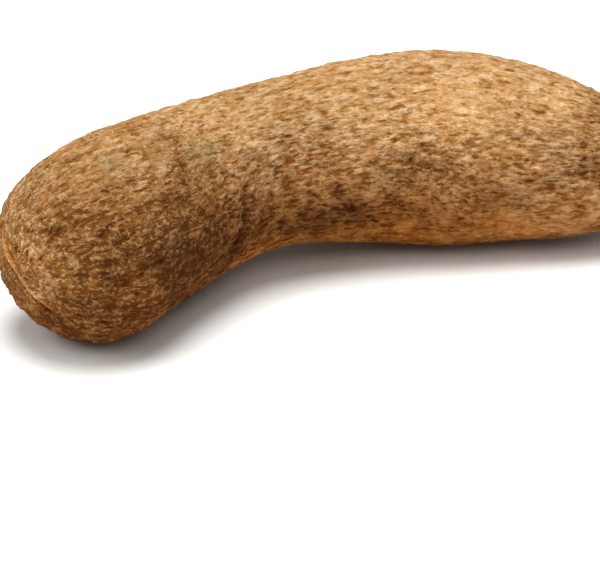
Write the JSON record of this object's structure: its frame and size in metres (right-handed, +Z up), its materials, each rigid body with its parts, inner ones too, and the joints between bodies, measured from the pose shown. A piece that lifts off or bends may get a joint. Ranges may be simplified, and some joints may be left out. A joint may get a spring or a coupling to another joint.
{
  "type": "puna yam",
  "caption": "Whole yam tuber, long and gently curved, with a blunt tail end, a thick crown end and rough brown bark-like skin.",
  "frame": {"origin": "on the surface that the tuber lies on, under the middle of its bounding box", "axes": "+X along the tuber, towards its thick crown end; +Y towards the outer side of its bend; +Z up"},
  "size_m": [0.3796, 0.147, 0.1101],
  "materials": {
    "yam_skin": "dry, rough bark-like skin with fine wrinkles along the tuber"
  },
  "bodies": {
    "root": {"yam_tuber": "yam_skin"}
  },
  "joints": []
}
